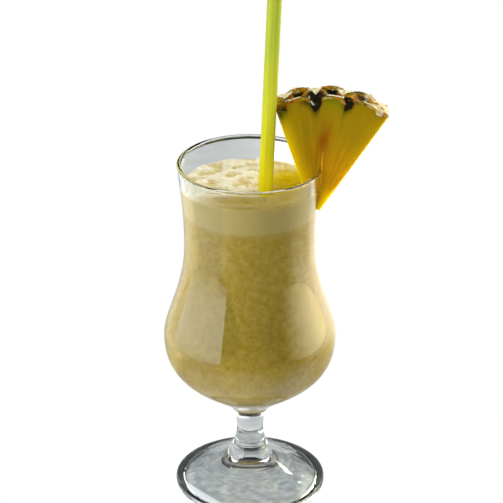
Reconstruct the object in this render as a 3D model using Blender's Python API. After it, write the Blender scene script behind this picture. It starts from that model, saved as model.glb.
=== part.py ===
"""A colada smoothie with its foam, straw and pineapple wedge, in a stemmed tulip glass.

Five solids: glass, smoothie, foam, straw and pineapple_wedge. The glass is turned about the
Z axis and its foot stands on z = 0. Sizes are in metres; a ring is a (radius, height) pair.
"""
import math
from collections import namedtuple

import bmesh
import bpy
from mathutils import Matrix, Vector, noise

MM = 0.001
GAP = 0.3 * MM
CUT_OVERRUN = 10.0 * MM
TURN_STEPS = 44
AXIS_MERGE = 0.01 * MM

# Rings of the glass's outline, from the lip down to the sole. Each has its radius and height, the
# outline's heading there in degrees outward from straight down, how far the curve holds that
# heading above and below the ring, and the number of steps that lead to it from the ring above.
Ring = namedtuple("Ring", "radius height heading above below steps")
RIM = Ring(35.64 * MM, 178.0 * MM, -5.7, 0.0, 16.0 * MM, 0)
WAIST = Ring(32.45 * MM, 134.5 * MM, 0.0, 20.0 * MM, 23.0 * MM, 4)
BULB = Ring(43.1 * MM, 85.0 * MM, 0.0, 9.5 * MM, 21.8 * MM, 6)
THROAT = Ring(12.9 * MM, 46.4 * MM, -50.6, 20.0 * MM, 3.8 * MM, 8)
NECK = Ring(6.8 * MM, 31.4 * MM, 0.0, 10.0 * MM, 7.5 * MM, 4)
COLLAR_TOP = Ring(10.6 * MM, 18.2 * MM, 20.0, 3.0 * MM, 0.7 * MM, 4)
COLLAR_LOW = Ring(11.1 * MM, 16.0 * MM, 5.0, 0.8 * MM, 0.0, 3)
FOOT_TOP = Ring(11.1 * MM, 16.0 * MM, 55.0, 0.0, 4.5 * MM, 0)
FOOT_SHOULDER = Ring(34.4 * MM, 3.9 * MM, 76.0, 9.0 * MM, 2.4 * MM, 5)
FOOT_EDGE = Ring(37.9 * MM, 1.8 * MM, 0.0, 1.5 * MM, 1.3 * MM, 3)
SOLE = Ring(36.9 * MM, 0.0, -90.0, 0.7 * MM, 0.0, 2)

BOWL = (RIM, WAIST, BULB, THROAT)
STEM_AND_FOOT = (THROAT, NECK, COLLAR_TOP, COLLAR_LOW, FOOT_TOP, FOOT_SHOULDER, FOOT_EDGE, SOLE)
RIM_WALL = 1.8 * MM
BASE_WALL = 2.3 * MM
BOWL_FLOOR_Z = 46.6 * MM
FLOOR_REACH = 4.0 * MM
LIP_STEPS = 4
FLOOR_STEPS = 4

# The drink stands up to the foam, and the foam up to its own uneven top
DRINK_TOP_Z = 154.5 * MM
FOAM_TOP_Z = 167.6 * MM
FOAM_FALL = 0.045
FOAM_CROWN = 0.7 * MM
FOAM_LUMP = 1.1 * MM
FOAM_LUMP_SIZE = 7.0 * MM
FOAM_BUBBLE = 1.0 * MM
FOAM_BUBBLE_SIZE = 3.2 * MM
FOAM_RINGS = 12

# The straw leans to +X and stands near the bottom of the bowl
STRAW_R = 3.45 * MM
STRAW_WALL = 0.25 * MM
STRAW_LENGTH = 240.0 * MM
STRAW_ENTRY = Vector((7.46 * MM, -9.8 * MM, 167.5 * MM))
STRAW_LEAN = math.radians(2.37)
STRAW_END_Z = 52.0 * MM
STRAW_SIDES = 24

# The wedge is a flat slice of the fruit, slit from its tip to sit on the glass's wall
WEDGE_TIP = Vector((31.15 * MM, 0.0, 151.4 * MM))
WEDGE_HALF_ANGLE = math.radians(25.65)
WEDGE_TILT = math.radians(7.55)
WEDGE_THICKNESS = 14.0 * MM
WEDGE_CORE_R = 5.2 * MM
WEDGE_LEFT_R = 60.8 * MM
WEDGE_RIGHT_R = 63.4 * MM
WEDGE_CROWN = 1.0 * MM
SLIT_TOP_Z = 187.0 * MM
SLIT_LOW_Z = 148.0 * MM
SLIT_TIP_WIDTH = 0.3 * MM

# The rind's eyes stand in staggered rows, each a low dome, over a finer grain
EYE_PITCH = 16.3 * MM
EYE_ROW_PITCH = 9.0 * MM
EYE_HEIGHT = 2.0 * MM
EYE_RADIUS = 8.0 * MM
EYE_ROWS = 3
EYE_COLUMNS = 6
EYE_GRAIN = 0.35 * MM
EYE_GRAIN_SIZE = 2.5 * MM
RIND_COLUMNS = 36
RIND_ROWS = 9


def clear_scene():
    """Remove everything that the file opened with."""
    for thing in list(bpy.data.objects):
        bpy.data.objects.remove(thing, do_unlink=True)


def principled(name, color, roughness, transmission=0.0):
    """One plain material for one sub-part."""
    material = bpy.data.materials.new(name)
    material.use_nodes = True
    shader = material.node_tree.nodes["Principled BSDF"]
    shader.inputs["Base Color"].default_value = (*color, 1.0)
    shader.inputs["Roughness"].default_value = roughness
    shader.inputs["Metallic"].default_value = 0.0
    shader.inputs["Transmission Weight"].default_value = transmission
    return material


def add_object(name, mesh, material=None):
    """Link an object that shows the mesh, with its material if it is a piece."""
    thing = bpy.data.objects.new(name, mesh)
    bpy.context.scene.collection.objects.link(thing)
    if material:
        mesh.materials.append(material)
    return thing


def finished_mesh(name, body, sharp_degrees):
    """A mesh from built faces, all facing out, smooth but for edges sharper than the angle."""
    mesh = bpy.data.meshes.new(name)
    bmesh.ops.recalc_face_normals(body, faces=body.faces)
    body.to_mesh(mesh)
    body.free()
    mesh.shade_smooth()
    mesh.set_sharp_from_angle(angle=math.radians(sharp_degrees))
    return mesh


def as_cutter(thing):
    """Keep an object out of sight: it only cuts others."""
    thing.hide_render = True
    thing.display_type = "WIRE"
    return thing


def cut(thing, cutter):
    """Take the cutter's shape out of a piece."""
    boolean = thing.modifiers.new("cut_" + cutter.name, "BOOLEAN")
    boolean.operation = "DIFFERENCE"
    boolean.solver = "EXACT"
    boolean.object = cutter


def curve(start, end):
    """Points (radius, height) on the cubic curve from one ring to the next, without the first."""
    leave = math.radians(start.heading)
    arrive = math.radians(end.heading)
    handle_a = (start.radius + start.below * math.sin(leave), start.height - start.below * math.cos(leave))
    handle_b = (end.radius - end.above * math.sin(arrive), end.height + end.above * math.cos(arrive))
    points = []
    for step in range(1, end.steps + 1):
        t = step / end.steps
        weights = ((1 - t) ** 3, 3 * (1 - t) ** 2 * t, 3 * (1 - t) * t * t, t ** 3)
        corners = (start[:2], handle_a, handle_b, end[:2])
        points.append(tuple(sum(w * c[i] for w, c in zip(weights, corners)) for i in (0, 1)))
    return points


def outline(rings):
    """The turned outline through a run of rings."""
    points = [rings[0][:2]]
    for upper, lower in zip(rings, rings[1:]):
        points += curve(upper, lower)
    return points


def inner_outline(clearance):
    """The bowl's inside, from the mouth down to the middle of its floor.

    The wall grows thicker downward. The clearance is the room left between it and its contents.
    """
    outside = outline(BOWL)
    inside = []
    for index, (radius, height) in enumerate(outside):
        above = outside[max(index - 1, 0)]
        below = outside[min(index + 1, len(outside) - 1)]
        along = Vector((below[0] - above[0], below[1] - above[1])).normalized()
        depth = (RIM.height - height) / (RIM.height - THROAT.height)
        wall = RIM_WALL + (BASE_WALL - RIM_WALL) * depth + clearance
        inside.append((radius + along.y * wall, height - along.x * wall))
    low = Ring(*inside[-1], THROAT.heading, 0.0, FLOOR_REACH, 0)
    floor = Ring(0.0, BOWL_FLOOR_Z + clearance, -90.0, FLOOR_REACH, 0.0, FLOOR_STEPS)
    return inside + curve(low, floor)


def radius_at(points, height):
    """The radius of a falling outline at a height."""
    for upper, lower in zip(points, points[1:]):
        if lower[1] <= height <= upper[1]:
            share = (upper[1] - height) / (upper[1] - lower[1])
            return upper[0] + (lower[0] - upper[0]) * share
    raise ValueError("the outline doesn't reach this height")


def turned(name, points, material=None, closed=False):
    """A body turned about the Z axis from an outline that runs down its outer side."""
    mesh = bpy.data.meshes.new(name)
    edges = [(i, i + 1) for i in range(len(points) - 1)]
    if closed:
        edges.append((len(points) - 1, 0))
    mesh.from_pydata([(radius, 0.0, height) for radius, height in points], edges, [])
    thing = add_object(name, mesh, material)
    screw = thing.modifiers.new("turn", "SCREW")
    screw.axis = "Z"
    screw.angle = math.tau
    screw.steps = TURN_STEPS
    screw.render_steps = TURN_STEPS
    screw.use_merge_vertices = True
    screw.merge_threshold = AXIS_MERGE
    screw.use_smooth_shade = True
    return thing


def build_glass():
    """The glass is one turned body: cavity, rounded lip, bowl, stem, collar and foot."""
    lip_r = RIM_WALL / 2
    lip_z = RIM.height - lip_r
    inside = inner_outline(0.0)
    outside = outline(BOWL)
    inside[0] = (radius_at(inside, lip_z), lip_z)
    outside[0] = (radius_at(outside, lip_z), lip_z)
    lip = []
    for step in range(1, LIP_STEPS):
        turn = math.pi * step / LIP_STEPS
        lip.append((RIM.radius - lip_r - lip_r * math.cos(turn), lip_z + lip_r * math.sin(turn)))
    foot = outline(STEM_AND_FOOT)[1:] + [(0.0, 0.0)]
    points = list(reversed(inside)) + lip + outside + foot
    return turned("glass", points, principled("clear_glass", (0.92, 0.94, 0.94), 0.02, 1.0))


def straw_matrix(height):
    """The straw's frame with its origin on its axis at a height."""
    along = Vector((math.sin(STRAW_LEAN), 0.0, math.cos(STRAW_LEAN)))
    place = STRAW_ENTRY + along * ((height - STRAW_ENTRY.z) / along.z)
    return Matrix.Translation(place) @ Matrix.Rotation(STRAW_LEAN, 4, "Y")


def tube_mesh(name, outer_r, inner_r, low, high):
    """A straight tube about Z between two heights; no inner radius makes it a full rod."""
    corners = ((inner_r, low), (inner_r, high), (outer_r, high), (outer_r, low))
    body = bmesh.new()
    columns = []
    for side in range(STRAW_SIDES):
        turn = math.tau * side / STRAW_SIDES
        columns.append([body.verts.new((r * math.cos(turn), r * math.sin(turn), z)) for r, z in corners])
    for index, column in enumerate(columns):
        after = columns[(index + 1) % STRAW_SIDES]
        for k in range(len(corners)):
            j = (k + 1) % len(corners)
            body.faces.new((column[k], after[k], after[j], column[j]))
    if not inner_r:
        bmesh.ops.remove_doubles(body, verts=body.verts, dist=AXIS_MERGE)
    return finished_mesh(name, body, 40)


def build_straw():
    """A plain drinking straw, open at both ends."""
    mesh = tube_mesh("straw", STRAW_R, STRAW_R - STRAW_WALL, 0.0, STRAW_LENGTH)
    straw = add_object("straw", mesh, principled("straw_plastic", (0.55, 0.62, 0.02), 0.3))
    straw.matrix_world = straw_matrix(STRAW_END_Z)
    return straw


def build_smoothie():
    """The drink fills the bowl and stands in the straw to the same level."""
    inside = inner_outline(GAP)
    points = [(0.0, DRINK_TOP_Z), (radius_at(inside, DRINK_TOP_Z), DRINK_TOP_Z)]
    points += [point for point in inside if point[1] < DRINK_TOP_Z]
    smoothie = turned("smoothie", points, principled("smoothie_drink", (0.60, 0.49, 0.22), 0.45))
    top = DRINK_TOP_Z - STRAW_END_Z + CUT_OVERRUN
    sleeve = tube_mesh("straw_sleeve", STRAW_R + GAP, STRAW_R - STRAW_WALL - GAP, -GAP, top)
    sleeve = as_cutter(add_object("straw_sleeve", sleeve))
    sleeve.matrix_world = straw_matrix(STRAW_END_Z)
    cut(smoothie, sleeve)
    return smoothie


def foam_height(x, y):
    """The uneven top of the foam: a slope, a low crown, lumps and popped bubbles."""
    reach = math.hypot(x, y) / RIM.radius
    lumps = noise.noise(Vector((x, y, 0.0)) / FOAM_LUMP_SIZE)
    bubbles = abs(noise.noise(Vector((x, y, 0.0)) / FOAM_BUBBLE_SIZE))
    crown = FOAM_CROWN * (1 - reach * reach)
    return FOAM_TOP_Z - FOAM_FALL * y + crown + FOAM_LUMP * lumps - FOAM_BUBBLE * bubbles


def foam_mesh():
    """The foam as rings about the axis: its uneven top, then its side down to the drink."""
    inside = inner_outline(GAP)
    low_z = DRINK_TOP_Z + GAP
    top_r = radius_at(inside, FOAM_TOP_Z)
    turns = [math.tau * k / TURN_STEPS for k in range(TURN_STEPS)]
    body = bmesh.new()
    loops = []
    for ring in range(1, FOAM_RINGS):
        radius = top_r * ring / FOAM_RINGS
        flat = [(radius * math.cos(turn), radius * math.sin(turn)) for turn in turns]
        loops.append([(x, y, foam_height(x, y)) for x, y in flat])
    brim = [foam_height(top_r * math.cos(turn), top_r * math.sin(turn)) for turn in turns]
    for heights in (brim, [(low_z + FOAM_TOP_Z) / 2] * TURN_STEPS, [low_z] * TURN_STEPS):
        wall = [(radius_at(inside, height), height) for height in heights]
        loops.append([(r * math.cos(turn), r * math.sin(turn), z) for (r, z), turn in zip(wall, turns)])
    loops = [[body.verts.new(point) for point in loop] for loop in loops]
    top_middle = body.verts.new((0.0, 0.0, foam_height(0.0, 0.0)))
    low_middle = body.verts.new((0.0, 0.0, low_z))
    for k in range(TURN_STEPS):
        after = (k + 1) % TURN_STEPS
        body.faces.new((top_middle, loops[0][k], loops[0][after]))
        body.faces.new((low_middle, loops[-1][after], loops[-1][k]))
        for upper, lower in zip(loops, loops[1:]):
            body.faces.new((upper[k], lower[k], lower[after], upper[after]))
    bmesh.ops.triangulate(body, faces=body.faces)
    return finished_mesh("foam", body, 50)


def build_foam():
    """A layer of foam on the drink, cut round the straw."""
    foam = add_object("foam", foam_mesh(), principled("smoothie_foam", (0.85, 0.80, 0.58), 0.6))
    depth = FOAM_TOP_Z - DRINK_TOP_Z + CUT_OVERRUN
    hole = tube_mesh("straw_hole", STRAW_R + GAP, 0.0, -CUT_OVERRUN, depth)
    hole = as_cutter(add_object("straw_hole", hole))
    hole.matrix_world = straw_matrix(DRINK_TOP_Z)
    cut(foam, hole)
    return foam


def rind_relief(along, across):
    """How far the rind stands out: staggered eyes, each a low dome, over a fine unevenness."""
    tallest = 0.0
    for row in range(EYE_ROWS):
        eye_y = (row - (EYE_ROWS - 1) / 2) * EYE_ROW_PITCH
        for column in range(EYE_COLUMNS):
            eye_x = (column - EYE_COLUMNS / 2 + 0.5 * (row % 2)) * EYE_PITCH
            away = math.hypot(along - eye_x, across - eye_y) / EYE_RADIUS
            tallest = max(tallest, 1 - away * away)
    grain = noise.noise(Vector((along, across, 0.0)) / EYE_GRAIN_SIZE)
    return EYE_HEIGHT * tallest + EYE_GRAIN * grain


def wedge_matrix():
    """The wedge's frame: its tip at the origin, and Z along the middle of the slice."""
    return Matrix.Translation(WEDGE_TIP) @ Matrix.Rotation(WEDGE_TILT, 4, "Y")


def wedge_mesh():
    """A sector of the slice, with its blunt core end below and the rind's relief on its arc."""
    half_y = WEDGE_THICKNESS / 2
    body = bmesh.new()
    rind = []
    for column in range(RIND_COLUMNS + 1):
        share = column / RIND_COLUMNS
        angle = WEDGE_HALF_ANGLE * (2 * share - 1)
        arc_r = WEDGE_LEFT_R + (WEDGE_RIGHT_R - WEDGE_LEFT_R) * share
        arc_r += WEDGE_CROWN * math.sin(math.pi * share)
        line = []
        for row in range(RIND_ROWS + 1):
            y = half_y * (2 * row / RIND_ROWS - 1)
            radius = arc_r + rind_relief(arc_r * angle, y)
            line.append(body.verts.new((radius * math.sin(angle), y, radius * math.cos(angle))))
        rind.append(line)
    core = []
    for angle in (-WEDGE_HALF_ANGLE, WEDGE_HALF_ANGLE):
        x = WEDGE_CORE_R * math.sin(angle)
        z = WEDGE_CORE_R * math.cos(angle)
        core.append([body.verts.new((x, y, z)) for y in (-half_y, half_y)])
    core_left, core_right = core
    for left, right in zip(rind, rind[1:]):
        for row in range(RIND_ROWS):
            body.faces.new((left[row], right[row], right[row + 1], left[row + 1]))
    body.faces.new([core_left[0], core_right[0]] + [line[0] for line in reversed(rind)])
    body.faces.new([core_right[1], core_left[1]] + [line[-1] for line in rind])
    body.faces.new([core_left[1], core_left[0]] + rind[0])
    body.faces.new([core_right[0], core_right[1]] + list(reversed(rind[-1])))
    body.faces.new((core_left[0], core_left[1], core_right[1], core_right[0]))
    bmesh.ops.triangulate(body, faces=body.faces)
    return finished_mesh("pineapple_wedge", body, 45)


def build_wall_slit():
    """The slit that takes the glass's wall: as wide as the wall, closing to a thin knife cut."""
    lip_z = RIM.height + GAP
    sides = []
    for points in ([(r + GAP, z) for r, z in outline(BOWL)], inner_outline(GAP)):
        side = [(points[0][0], lip_z)] + [point for point in points[1:] if point[1] > SLIT_LOW_Z]
        sides.append(side + [(radius_at(points, SLIT_LOW_Z), SLIT_LOW_Z)])
    outer_side, inner_side = sides
    knife_r = RIM.radius - RIM_WALL / 2
    knife_out = (knife_r + SLIT_TIP_WIDTH / 2, SLIT_TOP_Z)
    knife_in = (knife_r - SLIT_TIP_WIDTH / 2, SLIT_TOP_Z)
    loop = [knife_out] + outer_side + list(reversed(inner_side)) + [knife_in]
    return as_cutter(turned("wall_slit", loop, closed=True))


def build_wedge():
    """The pineapple wedge, slit from its tip."""
    wedge = add_object("pineapple_wedge", wedge_mesh(), principled("pineapple", (0.62, 0.40, 0.02), 0.4))
    wedge.matrix_world = wedge_matrix()
    cut(wedge, build_wall_slit())
    return wedge


def build_wedge_room():
    """The room that the wedge's dipped end takes in the foam, past the end all round."""
    half_y = WEDGE_THICKNESS / 2 + GAP
    reach = WEDGE_LEFT_R / 2
    body = bmesh.new()
    layers = []
    for y in (-half_y, half_y):
        layer = []
        corners = ((-1, WEDGE_CORE_R, GAP), (1, WEDGE_CORE_R, GAP), (1, reach, 0), (-1, reach, 0))
        for side, radius, drop in corners:
            x = side * (radius * math.sin(WEDGE_HALF_ANGLE) + GAP * math.cos(WEDGE_HALF_ANGLE))
            z = radius * math.cos(WEDGE_HALF_ANGLE) - GAP * math.sin(WEDGE_HALF_ANGLE) - drop
            layer.append(body.verts.new((x, y, z)))
        layers.append(layer)
    front, back = layers
    body.faces.new(front)
    body.faces.new(list(reversed(back)))
    for k in range(len(front)):
        j = (k + 1) % len(front)
        body.faces.new((front[j], front[k], back[k], back[j]))
    room = as_cutter(add_object("wedge_room", finished_mesh("wedge_room", body, 30)))
    room.matrix_world = wedge_matrix()
    return room


clear_scene()
build_glass()
build_smoothie()
build_straw()
foam_layer = build_foam()
build_wedge()
cut(foam_layer, build_wedge_room())
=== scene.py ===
import random
from collections import namedtuple
from math import atan2, cos, exp, hypot, pi, radians, sin, sqrt, tau

import bmesh
import bpy
from mathutils import Matrix, Vector, noise


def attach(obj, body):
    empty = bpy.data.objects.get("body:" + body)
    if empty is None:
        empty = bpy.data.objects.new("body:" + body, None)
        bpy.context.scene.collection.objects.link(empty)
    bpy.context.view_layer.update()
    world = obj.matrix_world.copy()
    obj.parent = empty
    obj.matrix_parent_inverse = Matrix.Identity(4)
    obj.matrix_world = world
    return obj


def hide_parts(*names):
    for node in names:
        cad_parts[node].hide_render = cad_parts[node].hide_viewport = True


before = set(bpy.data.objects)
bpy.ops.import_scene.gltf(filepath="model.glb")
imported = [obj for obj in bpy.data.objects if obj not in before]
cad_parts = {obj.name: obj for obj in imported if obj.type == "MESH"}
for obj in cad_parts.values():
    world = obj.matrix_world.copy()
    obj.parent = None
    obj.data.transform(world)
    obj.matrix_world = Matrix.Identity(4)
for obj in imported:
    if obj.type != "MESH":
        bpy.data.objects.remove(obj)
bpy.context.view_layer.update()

# The glass
# A stemmed tulip glass of clear soda-lime glass, pressed in one piece: lip, waist, bulb, a short
# stem that flares to a collar, and a round foot, hollow underneath so that it stands on a ring.
# The lip is fire-polished to a half round with a slight bead.
MM = 0.001
scene = bpy.context.scene
GLASS_TURNS = 160
FINER = 4
LIP_STEPS = 12
FLOOR_STEPS = 3
SAME_PLACE = 0.001 * MM

# Rings of the outline from the lip down: radius, height, heading in degrees outward from straight
# down, how far the curve holds that heading above and below it, and the steps from the ring above,
# each of which is cut finer.
Ring = namedtuple("Ring", "radius height heading above below steps")


def ring(radius, height, heading, above, below, steps):
    """A ring of the outline from its sizes in millimetres."""
    return Ring(radius * MM, height * MM, heading, above * MM, below * MM, steps)


RIM = ring(35.64, 178.0, -5.7, 0.0, 16.0, 0)
WAIST = ring(32.45, 134.5, 0.0, 20.0, 23.0, 4)
BULB = ring(43.1, 85.0, 0.0, 9.5, 21.8, 6)
THROAT = ring(12.9, 46.4, -50.6, 20.0, 3.8, 8)
NECK = ring(6.8, 31.4, 0.0, 10.0, 7.5, 4)
COLLAR_TOP = ring(10.6, 18.2, 20.0, 3.0, 0.7, 4)
COLLAR_LOW = ring(11.1, 16.0, 5.0, 0.8, 0.0, 3)
FOOT_TOP = ring(11.1, 16.0, 55.0, 0.0, 4.5, 0)
FOOT_SHOULDER = ring(34.4, 3.9, 76.0, 9.0, 2.4, 5)
FOOT_EDGE = ring(37.9, 1.8, 0.0, 1.5, 1.3, 3)
SOLE = ring(37.0, 0.0, -90.0, 0.7, 0.1, 2)
SOLE_INSIDE = ring(34.2, 0.0, -90.0, 0.1, 0.0, 1)
HOLLOW_START = ring(34.2, 0.0, -160.0, 0.0, 0.5, 0)
HOLLOW_SIDE = ring(32.8, 1.7, -118.0, 0.8, 5.0, 2)
HOLLOW_CEILING = ring(16.0, 9.0, -104.0, 4.5, 5.5, 5)
HOLLOW_TOP = ring(0.0, 12.0, -90.0, 6.0, 0.0, 4)
BOWL = (RIM, WAIST, BULB, THROAT)
STEM = (THROAT, NECK, COLLAR_TOP, COLLAR_LOW)
FOOT = (FOOT_TOP, FOOT_SHOULDER, FOOT_EDGE, SOLE, SOLE_INSIDE)
HOLLOW = (HOLLOW_START, HOLLOW_SIDE, HOLLOW_CEILING, HOLLOW_TOP)
LIP_HEIGHT = 0.65 * MM
BEAD_IN = 0.20 * MM
BEAD_OUT = 0.10 * MM
BEAD_FALL = 1.2 * MM
BEAD_STEPS = 10
RIM_WALL = 1.8 * MM
BASE_WALL = 2.3 * MM
BOWL_FLOOR_Z = 46.6 * MM
FLOOR_REACH = 4.0 * MM


def curve(start, end):
    """Points (radius, height) on the cubic curve from one ring to the next, without the first."""
    leave = radians(start.heading)
    arrive = radians(end.heading)
    handle_a = (start.radius + start.below * sin(leave), start.height - start.below * cos(leave))
    handle_b = (end.radius - end.above * sin(arrive), end.height + end.above * cos(arrive))
    corners = (start[:2], handle_a, handle_b, end[:2])
    points = []
    for step in range(1, end.steps * FINER + 1):
        t = step / (end.steps * FINER)
        weights = ((1 - t) ** 3, 3 * (1 - t) ** 2 * t, 3 * (1 - t) * t * t, t ** 3)
        points.append(tuple(sum(w * c[i] for w, c in zip(weights, corners)) for i in (0, 1)))
    return points


def outline(rings):
    """The turned outline through a run of rings."""
    points = [rings[0][:2]]
    for upper, lower in zip(rings, rings[1:]):
        points += curve(upper, lower)
    return points


def inner_outline(clearance):
    """The bowl's inside, from the mouth to the middle of its floor, so far clear of the wall."""
    outside = outline(BOWL)
    inside = []
    for index, (radius, height) in enumerate(outside):
        above = outside[max(index - 1, 0)]
        below = outside[min(index + 1, len(outside) - 1)]
        along = Vector((below[0] - above[0], below[1] - above[1])).normalized()
        depth = (RIM.height - height) / (RIM.height - THROAT.height)
        wall = RIM_WALL + (BASE_WALL - RIM_WALL) * depth + clearance
        inside.append((radius + along.y * wall, height - along.x * wall))
    low = Ring(*inside[-1], THROAT.heading, 0.0, FLOOR_REACH, 0)
    floor = Ring(0.0, BOWL_FLOOR_Z + clearance, -90.0, FLOOR_REACH, 0.0, FLOOR_STEPS)
    return inside + curve(low, floor)


def radius_at(points, height):
    """The radius of a falling outline at a height."""
    for upper, lower in zip(points, points[1:]):
        if lower[1] <= height <= upper[1]:
            share = (upper[1] - height) / (upper[1] - lower[1])
            return upper[0] + (lower[0] - upper[0]) * share
    raise ValueError("the outline doesn't reach this height")


def new_piece(name, body, material, crease=None):
    """An object from built faces, facing out and smooth but for creases of so many degrees or more."""
    mesh = bpy.data.meshes.new(name)
    bmesh.ops.recalc_face_normals(body, faces=body.faces)
    body.to_mesh(mesh)
    body.free()
    mesh.shade_smooth()
    if crease:
        mesh.set_sharp_from_angle(angle=radians(crease))
    mesh.materials.append(material)
    piece = bpy.data.objects.new(name, mesh)
    scene.collection.objects.link(piece)
    return piece


def turned_body(points, turns, closed=False):
    """Faces of an outline turned about the Z axis; points on the axis become one vertex."""
    body = bmesh.new()
    columns = []
    for turn in range(turns):
        angle = tau * turn / turns
        columns.append([body.verts.new((r * cos(angle), r * sin(angle), z)) for r, z in points])
    spans = len(points) if closed else len(points) - 1
    for turn in range(turns):
        here = columns[turn]
        after = columns[(turn + 1) % turns]
        for k in range(spans):
            j = (k + 1) % len(points)
            body.faces.new((here[k], here[j], after[j], after[k]))
    bmesh.ops.remove_doubles(body, verts=body.verts, dist=SAME_PLACE)
    return body


def srgb(hex_color):
    """A hex colour as linear red, green, blue and full alpha."""
    channels = [int(hex_color[i:i + 2], 16) / 255 for i in (1, 3, 5)]
    return tuple(c / 12.92 if c <= 0.04045 else ((c + 0.055) / 1.055) ** 2.4 for c in channels) + (1.0,)


def join(tree, node, links):
    """Feed a node's sockets, each from a socket or from the first output that a node has on."""
    for name, source in links.items():
        if isinstance(source, bpy.types.Node):
            source = next(output for output in source.outputs if output.enabled)
        tree.links.new(source, node.inputs[name])


def add(tree, kind, settings=None, links=None, stops=()):
    """A shader node with its settings, what feeds it and the colour stops of its ramp."""
    made = tree.nodes.new("ShaderNode" + kind)
    for name, value in (settings or {}).items():
        if isinstance(name, int) or name in made.inputs:
            made.inputs[name].default_value = value
        else:
            setattr(made, name, value)
    if stops:
        elements = made.color_ramp.elements
        elements.remove(elements[1])
        elements[0].position = stops[0][0]
        elements[0].color = srgb(stops[0][1])
    for position, tone in stops[1:]:
        elements.new(position).color = srgb(tone)
    join(tree, made, links or {})
    return made


def start_material(name, settings):
    """A material with one Principled shader: the material, its tree, the shader and places on it."""
    material = bpy.data.materials.new(name)
    material.use_nodes = True
    tree = material.node_tree
    shader = tree.nodes["Principled BSDF"]
    for socket, value in settings.items():
        shader.inputs[socket].default_value = value
    return material, tree, shader, add(tree, "TexCoord").outputs["Object"]


# Soda-lime glass, index 1.52, polished: sharp reflections and dark refracted edges. The foot is
# pressed, and waves about 9 mm apart mottle what shows through it.
glass_material, tree, shader, place = start_material("clear_soda_lime_glass", {
    "Base Color": srgb("#f4f7f7"), "Roughness": 0.0, "IOR": 1.52, "Transmission Weight": 1.0})
height = add(tree, "SeparateXYZ", links={0: place})
on_foot = add(tree, "MapRange", {"From Min": 10 * MM, "From Max": 7 * MM}, {"Value": height.outputs["Z"]})
waves = add(tree, "TexNoise", {"Scale": 1 / (9 * MM), "Detail": 1.0}, {"Vector": place})
swell = add(tree, "Math", {"operation": "MULTIPLY"}, {0: waves, 1: on_foot})
bump = add(tree, "Bump", {"Strength": 1.0, "Distance": 0.45 * MM}, {"Height": swell})
join(tree, shader, {"Normal": bump})
paths = add(tree, "LightPath")
lamp_light = add(tree, "BsdfTransparent", {"Color": srgb("#f2f4f4")})
let_through = add(tree, "MixShader", links={0: paths.outputs["Is Shadow Ray"], 1: shader, 2: lamp_light})
join(tree, tree.nodes["Material Output"], {"Surface": let_through})

lip_z = RIM.height - LIP_HEIGHT


def beaded(points, bead):
    """A side of the wall that swells by the bead towards the lip, where the flame has drawn it in."""
    swelling = []
    for step in range(BEAD_STEPS):
        share = step / BEAD_STEPS
        z = lip_z - BEAD_FALL * share
        swelling.append((radius_at(points, z) + bead * (0.5 + 0.5 * cos(pi * share)), z))
    return swelling + [point for point in points if point[1] < lip_z - BEAD_FALL]


inside = beaded(inner_outline(0.0), -BEAD_IN)
outside = beaded(outline(BOWL), BEAD_OUT)
lip_middle = (inside[0][0] + outside[0][0]) / 2
lip_half = (outside[0][0] - inside[0][0]) / 2
lip = []
for step in range(1, LIP_STEPS):
    turn = pi * step / LIP_STEPS
    lip.append((lip_middle - lip_half * cos(turn), lip_z + LIP_HEIGHT * sin(turn)))
below = outline(STEM)[1:] + outline(FOOT)[1:] + outline(HOLLOW)[1:]
glass_points = inside[::-1] + lip + outside + below
glass = new_piece("tulip_glass", turned_body(glass_points, GLASS_TURNS), glass_material, crease=50)
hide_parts("glass")
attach(glass, "root")

# The straw
# A straight smoothie straw of dyed polypropylene, extruded as a thin tube and cut square. It
# stands near the bowl's floor and leans to the right; its plastic lets a little light through.
STRAW_R = 3.45 * MM
STRAW_WALL = 0.25 * MM
STRAW_LENGTH = 240.0 * MM
STRAW_ENTRY = Vector((7.46 * MM, -9.8 * MM, 167.5 * MM))
STRAW_LEAN = radians(2.37)
STRAW_END_Z = 52.0 * MM
STRAW_TURNS = 72
STRAW_RINGS = 60

straw_along = Vector((sin(STRAW_LEAN), 0.0, cos(STRAW_LEAN)))
straw_foot = STRAW_ENTRY + straw_along * ((STRAW_END_Z - STRAW_ENTRY.z) / straw_along.z)
straw_place = Matrix.Translation(straw_foot) @ Matrix.Rotation(STRAW_LEAN, 4, "Y")


def tube_points(outer_r, inner_r, low, high, rings):
    """The closed outline of a tube's wall, down its outer side and back up inside."""
    heights = [high + (low - high) * k / rings for k in range(rings + 1)]
    return [(outer_r, z) for z in heights] + [(inner_r, z) for z in reversed(heights)]


# Dyed polypropylene, index 1.49, extruded smooth: a soft gloss along the tube, and light that
# passes the thin wall and brightens it. Its colour turns from yellow-green above to yellow lower down,
# towards the foam.
YELLOW_TOP_Z = 200 * MM
YELLOW_FADE = 45 * MM
LIGHT_THROUGH = 0.55
RGBA = {"data_type": "RGBA"}
straw_material, tree, shader, place = start_material("dyed_polypropylene", {
    "Roughness": 0.3, "IOR": 1.49, "Specular IOR Level": 0.05})
height = add(tree, "SeparateXYZ", links={0: place})
yellow_low = YELLOW_TOP_Z - STRAW_END_Z
yellowing = add(tree, "MapRange", {"From Min": yellow_low + YELLOW_FADE, "From Max": yellow_low - YELLOW_FADE},
           {"Value": height.outputs["Z"]})
draw_lines = add(tree, "Mapping", {"Scale": (1.0, 1.0, 0.02)}, {"Vector": place})
streaks = add(tree, "TexNoise", {"Scale": 1 / (1.3 * MM), "Detail": 2.0}, {"Vector": draw_lines})
dye = add(tree, "Mix", RGBA | {6: srgb("#c8d04a"), 7: srgb("#fff200")}, {0: yellowing})
shade = add(tree, "MapRange", {"From Min": 0.3, "From Max": 0.7, "To Min": 0.9, "To Max": 1.06},
            {"Value": streaks})
color = add(tree, "VectorMath", {"operation": "SCALE"}, {0: dye, "Scale": shade})
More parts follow.
